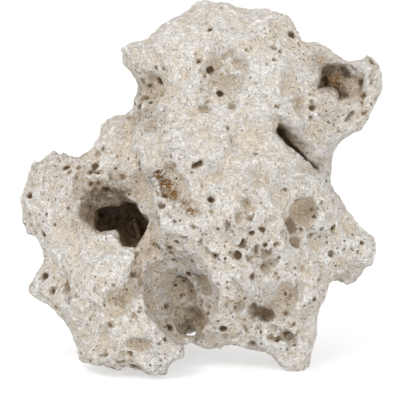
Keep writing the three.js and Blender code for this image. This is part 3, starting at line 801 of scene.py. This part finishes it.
def filled(mesh, gap, depth):
    """Distances to the stone with every hollow filled that a ball of this radius can't get into, as far as
    depth into it."""
    reach = gap + depth
    swollen = COARSE.surface("swollen", COARSE.distances(*net_of(mesh), reach), gap)
    return COARSE.distances(*net_of(swollen), reach) + gap


def box_distances():
    """Distances to the box that holds the stone."""
    sides = [np.maximum(LOW[axis] - x, x - HIGH[axis]) for axis, x in enumerate(axes_of(FINE))]
    return np.maximum(np.maximum(sides[0][:, None, None], sides[1][None, :, None]), sides[2][None, None, :])


def axes_of(lattice):
    return [(lattice.start[axis] + np.arange(lattice.shape[axis])) * lattice.step for axis in range(3)]


ROOM_REACH = 0.5  # how far into a hollow its depth is told, in radii of the ball that it keeps out
ROOM_EDGE = 0.4  # the depth at which the room runs out, in the same radii


def room_over(mesh, gap):
    """For each point of a mesh, 1 on open faces and 0 in hollows."""
    depth = -COARSE.sampled(filled(mesh, gap, ROOM_REACH * gap), points_of(mesh))
    return np.clip(1 - depth / (ROOM_EDGE * gap), 0, 1)


def island_maker():
    """Keeps only the largest of the closed surfaces in a mesh."""
    maker = Maker("largest island", {"Material": "Material"})
    island = maker.add("GeometryNodeInputMeshIsland")
    size = maker.add("GeometryNodeAccumulateField", sockets={"Value": 1.0, "Group ID": island})["Total"]
    most = maker.add("GeometryNodeAttributeStatistic", sockets={
        "Geometry": maker.given["Geometry"], "Attribute": size})["Max"]
    small = maker.add("FunctionNodeCompare", {"operation": "LESS_THAN"}, {"A": size, "B": most})
    kept = maker.add(
        "GeometryNodeDeleteGeometry", sockets={"Geometry": maker.given["Geometry"], "Selection": small})
    maker.finish(kept)
    return maker


# Waves: their size, then their height. The relief's are ridged and cover the whole surface.
RELIEF = [(7 * MM, 0.85 * MM), (3.6 * MM, 0.6 * MM), (1.9 * MM, 0.35 * MM)]
RELIEF_LEVEL = 0.4  # of the ridged waves, which rise and fall about it
MOUTH_WAVES = (5 * MM, 0.8 * MM)
WALL_WAVES = [(4 * MM, 0.7 * MM), (2 * MM, 0.5 * MM)]
SMALL_WAVES = 0.25  # of the walls' waves in small hollows
SKIN_WAVES = (1.5 * MM, 0.16 * MM)
SKIN_BLUR = 0.3 * MM
FACET_BLUR = 1.3 * MM  # takes away the solid's facets
SKIN_GROWTH = 0.7 * MM  # of the blurred solid, for the scallops to take off
EDGE_LOSS = 0.3 * MM  # from the solid's own skin, which brings back its thin edges
CORE = 1.3 * MM  # how far below the blurred solid scallops and dimples may go
EDGE_CORE = 1.6 * MM  # how far below the solid itself
SCALLOP_ROOM = 9 * MM  # the radius of a ball, into whose hollows scallops don't go
OPEN_GAP = 13 * MM  # the radius of a ball that stays out of the deep hollows
DEEPEST = 20 * MM  # how far into them their depth is told
HOLLOW_BLUR = 1.3 * MM  # tells small hollows from ridges
WIDE_BLUR = 4 * MM  # tells wide hollows from swellings
WIDE_REACH = 10 * MM
CROWD_LEAST = 0.1  # how crowded the pits are on the plain face
CROWD_BEHIND = 0.25  # and how much more on the sides and the back
SIDES_START = -5  # the w behind which those lie


def crowding(points):
    """How crowded the pits are at some points of the stone, from 0 to 1."""
    plain = CROWD_LEAST + CROWD_BEHIND * (face_of(points)[:, 2] < SIDES_START)
    return np.clip(plain + spot_strength(points, CROWDED), 0, 1)


def waved(random, size, height):
    return height * FINE.waves(random, size)


def carved(material):
    """The finished surface of the stone."""
    random = np.random.default_rng(SEED)
    maker = bite_maker()

    # The solid without its facets, its hollows narrowed.
    block = FINE.distances(*net_of(merged(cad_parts["limestone"].data)), REACH)
    block = np.minimum(block, FINE.distances(*lumps(SWELLINGS), REACH))
    plugs, cutters = mouths(FINE.surface("block", block))
    block = np.minimum(block, FINE.distances(*plugs, REACH))
    smooth = FINE.blurred(block, FACET_BLUR)
    box = box_distances()
    stone = np.maximum(np.minimum(smooth - SKIN_GROWTH, block + EDGE_LOSS), box)

    # Scallops, dimples and relief.
    skin = FINE.surface("skin", stone)
    keep_values(skin, "room", room_over(skin, SCALLOP_ROOM))
    for name in ("scallops", "dimples"):
        stone = bitten(stone, skin, maker, BITES[name], material)
    stone = np.minimum(stone, np.minimum(smooth + CORE, block + EDGE_CORE))
    relief = np.zeros(FINE.shape, np.float32)
    for size, height in RELIEF:
        relief += height * (np.abs(FINE.waves(random, size)) - RELIEF_LEVEL)
    whole_skin = stone + relief

    # Hollows that have their own places.
    stone = np.maximum(stone, waved(random, *MOUTH_WAVES) - FINE.distances(*cutters, REACH))
    stone = np.minimum(stone, FINE.distances(*lumps(CRUMBS), REACH)) + relief
    uneven = sum(waved(random, *row) for row in WALL_WAVES)
    wide = [row for row in HOLLOWS if min(row[3:5]) > SMALL_HOLLOW]
    small = [row for row in HOLLOWS if min(row[3:5]) <= SMALL_HOLLOW]
    stone = np.maximum(stone, uneven - FINE.distances(*placed_hollows(skin, wide), REACH))
    stone = np.maximum(stone, SMALL_WAVES * uneven - FINE.distances(*placed_hollows(skin, small), REACH))

    # Pits, and a rough skin.
    unpitted = stone
    rough = FINE.surface("rough", stone)
    keep_values(rough, "room", crowding(points_of(rough)))
    for name in ("pits", "lone pits"):
        stone = bitten(stone, rough, maker, BITES[name], material)
    stone = np.maximum(FINE.blurred(stone, SKIN_BLUR) + waved(random, *SKIN_WAVES), box)

    # Its mesh, thinned.
    whole = island_maker().make(FINE.surface("whole", stone), {"Material": material})
    piece = object_of("limestone_surface", whole)
    thin = piece.modifiers.new("thin", "DECIMATE")
    thin.ratio = TRIANGLES / len(triangles_of(whole))
    mesh = baked(piece)
    piece.modifiers.remove(thin)
    piece.data = mesh
    points = np.clip(points_of(mesh), LOW, HIGH)
    mesh.vertices.foreach_set("co", points.astype(np.float32).ravel())

    # What the finish reads, in millimetres where it is a depth.
    half = COARSE.distances(*net_of(whole), WIDE_REACH)
    depths = {
        "pit": FINE.sampled(unpitted, points),
        "bowl": FINE.sampled(whole_skin, points),
        "depth": COARSE.sampled(filled(whole, OPEN_GAP, DEEPEST), points),
        "hollow": FINE.sampled(FINE.blurred(stone, HOLLOW_BLUR), points),
        "wide": COARSE.sampled(COARSE.blurred(half, WIDE_BLUR), points),
        "crest": FINE.sampled(relief, points),
    }
    shares = {
        "crowd": crowding(points),
        "tint": tint(points + FINE.sampled(uneven, points)[:, None] * TINT_SHIFT),
        "rust": spot_strength(points, RUST),
        "soil": spot_strength(points, SOIL_AND_SHADE),
        "chalk": spot_strength(points, CHALK_AND_LIGHT),
    }
    for name, values in depths.items():
        keep_values(mesh, name, -values / MM)
    for name, values in shares.items():
        keep_values(mesh, name, values)
    mesh.polygons.foreach_set("use_smooth", np.ones(len(mesh.polygons), bool))
    return piece


# ---- Finish ----

CREAM = (0.635, 0.575, 0.50, 1)
GREY_CREAM = (0.605, 0.57, 0.52, 1)
# A white for chalky spots and flakes, also used for the painted highlights on ridges and crests.
WHITE_OF_CHALK_AND_HIGHLIGHTS = (0.72, 0.70, 0.665, 1)
SAND = (0.575, 0.485, 0.375, 1)
WARM_SAND = (0.68, 0.58, 0.45, 1)
TAN = (0.385, 0.295, 0.195, 1)
CAVE_BROWN = (0.43, 0.30, 0.165, 1)
SOIL_AND_SHADE_BROWN = (0.20, 0.15, 0.098, 1)
BROWN = (0.235, 0.16, 0.088, 1)
DARKEST_BROWN = (0.085, 0.052, 0.026, 1)
RUSTY = (0.22, 0.115, 0.04, 1)
BUMP = 0.8 * MM


def limestone_finish():
    material = bpy.data.materials.new("weathered limestone")
    material.use_nodes = True
    material.node_tree.nodes.clear()
    net = Net(material.node_tree)
    place = net.add("ShaderNodeTexCoord")["Object"]

    def mask(name):
        return net.add("ShaderNodeAttribute", {"attribute_name": name})["Fac"]

    def noise(size, detail=2.0, roughness=0.5):
        return net.add(
            "ShaderNodeTexNoise", sockets={
                "Vector": place, "Scale": 1 / size, "Detail": detail, "Roughness": roughness})

    def mix(share, a, b):
        return net.add(
            "ShaderNodeMix", {"data_type": "RGBA", "clamp_factor": True}, {"Factor": share, "A": a, "B": b})

    warp = (noise(2 * MM)["Color"] - (0.5, 0.5, 0.5)) * 1.6 * MM
    bent = place + warp

    def cells(size):
        """Cells of this size: how far each place is from the middle of its cell, and the cell's own random
        number."""
        found = net.add(
            "ShaderNodeTexVoronoi", {"feature": "F1"},
            {"Vector": bent, "Scale": 1 / size, "Randomness": 1.0})
        colour = net.add("ShaderNodeSeparateColor", sockets={"Color": found["Color"]})
        return found["Distance"], colour["Red"]

    def pores(size, widest, patch, bare, share):
        """Small pores in patches, in a share of the cells: 1 in the middle of each, 0 between them."""
        distance, chance = cells(size)
        reach = widest * net.step(chance, 1 - share, 1.0, 0.5, 1.0)
        where = net.step(noise(patch, 1.0), bare, bare + PATCH_EDGE)
        where = where * net.step(chance, 1 - share - 0.02, 1 - share)
        return net.step(distance, reach + 0.06, reach * 0.55) * where

    hollow = mask("hollow")
    wide = mask("wide")
    depth = mask("depth")
    bowl = mask("bowl")
    tinted = mask("tint")
    pit = mask("pit")
    crowd = mask("crowd")
    specks = pores(size=1.3 * MM, widest=0.40, patch=9 * MM, bare=0.42, share=0.16)
    specks = specks * net.step(crowd, 0.0, 0.3, 0.7, 1.0)
    fine_pores = pores(size=2.3 * MM, widest=0.33, patch=8 * MM, bare=0.40, share=0.35)
    fine_pores = fine_pores * net.step(crowd, 0.0, 0.3, 0.35, 1.0)
    coarse_pores = pores(size=4.0 * MM, widest=0.24, patch=16 * MM, bare=0.42, share=0.5)
    coarse_pores = coarse_pores * net.step(crowd, 0.0, 0.4)
    crystals = cells(0.5 * MM)[1]
    grain = noise(0.55 * MM, 2.0, 0.7)
    crust = noise(2.4 * MM, 4.0, 0.65)
    mottle = noise(7 * MM, 4.0, 0.62)
    cloud = noise(30 * MM, 3.0, 0.55)

    open_face = net.step(depth, 5.0, 1.0)
    base = mix(net.step(cloud, 0.4, 0.6), GREY_CREAM, CREAM)
    base = mix(net.step(mottle, 0.56, 0.38) * 0.55, base, SAND)
    # Wide hollows are painted a lighter, warmer sand: painted light where the lamps reach them less.
    base = mix(net.step(wide, -0.4, 1.4) * 0.7, base, WARM_SAND)
    # Named hollows turn tan, then brown, the deeper they lie below the skin: painted shade, partly their own
    # brown.
    base = mix(net.step(bowl + crust * 0.8, 0.7, 3.2) * 0.35, base, TAN)
    base = mix(net.step(bowl + crust * 3, 3.5, 9.0) * 0.6, base, CAVE_BROWN)
    # Tan in the named hollows: partly their own earth, partly painted shade.
    base = mix(tinted * net.step(crust, 0.3, 0.6, 0.25, 0.85), base, TAN)
    # The mouths of the deep hollows get the same lighter, warmer sand: painted light.
    base = mix(net.step(depth, 0.5, 4.0) * 0.5, base, WARM_SAND)
    # Deeper into the hollows that a wide ball can't enter, the stone turns tan, brown and nearly black:
    # painted shade, partly their own brown.
    base = mix(net.step(depth, 3.5, 12.0) * 0.7, base, TAN)
    base = mix(net.step(depth + crust * 4, 12.0, 17.0) * 0.8, base, CAVE_BROWN)
    base = mix(net.step(depth, 8.0, 12.0) * net.step(crust, 0.5, 0.4) * 0.55, base, DARKEST_BROWN)
    # Ridges on the open face are painted white: painted highlight on convex edges, partly the stone's own
    # whiter edges.
    ridge = net.step(hollow, 0.0, -0.2) * open_face
    chalk = mask("chalk") * net.step(mottle, 0.42, 0.56) * open_face
    # The relief waves' troughs are painted sand and their crests white: painted shade and painted highlight
    # that follow the relief.
    crest = mask("crest") + (crust - 0.5) * 0.5
    base = mix(net.step(crest, -0.1, -0.5) * 0.35, base, SAND)
    base = mix(ridge * net.step(crust, 0.35, 0.6) * 0.7, base, WHITE_OF_CHALK_AND_HIGHLIGHTS)
    base = mix(net.step(crest, 0.2, 0.5) * open_face * 0.75, base, WHITE_OF_CHALK_AND_HIGHLIGHTS)
    # Chalky white in the listed spots, with painted light on faces that lie in shade.
    base = mix(chalk * 0.85, base, WHITE_OF_CHALK_AND_HIGHLIGHTS)
    flakes = net.step(net.math("ABSOLUTE", noise(1.7 * MM, 2.0, 0.6) - 0.5), 0.04, 0.0)
    base = mix(flakes * open_face * 0.7, base, WHITE_OF_CHALK_AND_HIGHLIGHTS)
    # Dark brown in the listed spots: painted shade in the hollows and holes, with some brown earth.
    base = mix(mask("soil") * net.step(crust, 0.7, 0.4, 0.7, 1.3), base, SOIL_AND_SHADE_BROWN)
    # The pits turn tan, then nearly black, the deeper they go below the stone's skin before its pits.
    base = mix(net.step(pit, 0.05, 0.5) * 0.7, base, TAN)
    base = mix(net.step(pit, 0.4, 1.3) * 0.9, base, DARKEST_BROWN)
    rust = mask("rust") * net.step(noise(1.4 * MM, 3.0, 0.7), 0.42, 0.52, 0.15, 1.0)
    base = mix(rust, base, RUSTY)
    base = mix(coarse_pores * 0.85, base, DARKEST_BROWN)
    base = mix(fine_pores * 0.85, base, BROWN)
    base = mix(specks * 0.9, base, DARKEST_BROWN)
    seams = net.step(net.math("ABSOLUTE", noise(2.6 * MM, 2.0, 0.6) - 0.5), 0.03, 0.0)
    shade = 1.0 + (crystals - 0.5) * 0.3 + (grain - 0.5) * 1.1 + (crust - 0.5) * 0.35 - seams * 0.18
    base = base * shade

    height = (grain - 0.5) * 0.8 + crystals * 0.12 + (crust - 0.5) * 1.3 + flakes * 0.3 - seams * 0.3
    height = height - fine_pores * 0.5 - coarse_pores * 0.9 - specks * 0.3
    bump = net.add("ShaderNodeBump", sockets={"Height": height, "Strength": 1.0, "Distance": BUMP})
    shader = net.add("ShaderNodeBsdfPrincipled", sockets={
        "Base Color": base, "Roughness": 0.95, "Specular IOR Level": 0.2, "Normal": bump})
    net.add("ShaderNodeOutputMaterial", sockets={"Surface": shader})
    return material


finish = limestone_finish()
limestone = carved(finish)
limestone.data.materials.clear()
limestone.data.materials.append(finish)
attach(limestone, "root")
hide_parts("limestone")


# ---- Floor and light ----

FLOOR_HALF = 6.0
FLOOR_GREY = 0.5
FLOOR_GLOW = 0.52  # lifts the floor to white
STUDIO_GLOW = 1.03

floor_mesh = mesh_of(
    "floor", np.array([(x, y, 0) for x, y in ((-1, -1), (1, -1), (1, 1), (-1, 1))]) * FLOOR_HALF,
    np.array([(0, 1, 2, 3)]))
floor = object_of("floor", floor_mesh)
floor_finish = bpy.data.materials.new("pale floor")
floor_finish.use_nodes = True
floor_shader = floor_finish.node_tree.nodes["Principled BSDF"]
floor_shader.inputs["Base Color"].default_value = (FLOOR_GREY, FLOOR_GREY, FLOOR_GREY, 1)
floor_shader.inputs["Emission Color"].default_value = (1, 1, 1, 1)
floor_shader.inputs["Emission Strength"].default_value = FLOOR_GLOW
floor_shader.inputs["Roughness"].default_value = 0.9
floor_shader.inputs["Specular IOR Level"].default_value = 0.1
floor_mesh.materials.append(floor_finish)


def soft_light(name, around, height, distance, size, power):
    """A square light that faces the stone, this many degrees around it from the front and above it."""
    light = bpy.data.lights.new(name, "AREA")
    light.size = size
    light.energy = power
    middle = Vector((0, 0, (LOW[2] + HIGH[2]) / 2))
    turn = math.radians(around)
    rise = math.radians(height)
    aim = Vector((math.sin(turn) * math.cos(rise), -math.cos(turn) * math.cos(rise), math.sin(rise)))
    lamp = bpy.data.objects.new(name, light)
    turned = aim.to_track_quat("Z", "Y").to_matrix().to_4x4()
    lamp.matrix_world = Matrix.Translation(middle + aim * distance) @ turned
    bpy.context.scene.collection.objects.link(lamp)


soft_light("key", around=-35, height=45, distance=1.4, size=0.6, power=9.0)
soft_light("fill", around=40, height=5, distance=1.6, size=1.2, power=10.0)

world = bpy.data.worlds.new("studio")
world.use_nodes = True
world.node_tree.nodes["Background"].inputs["Color"].default_value = (1, 1, 1, 1)
world.node_tree.nodes["Background"].inputs["Strength"].default_value = STUDIO_GLOW
bpy.context.scene.world = world
bpy.context.scene.view_settings.view_transform = "Standard"
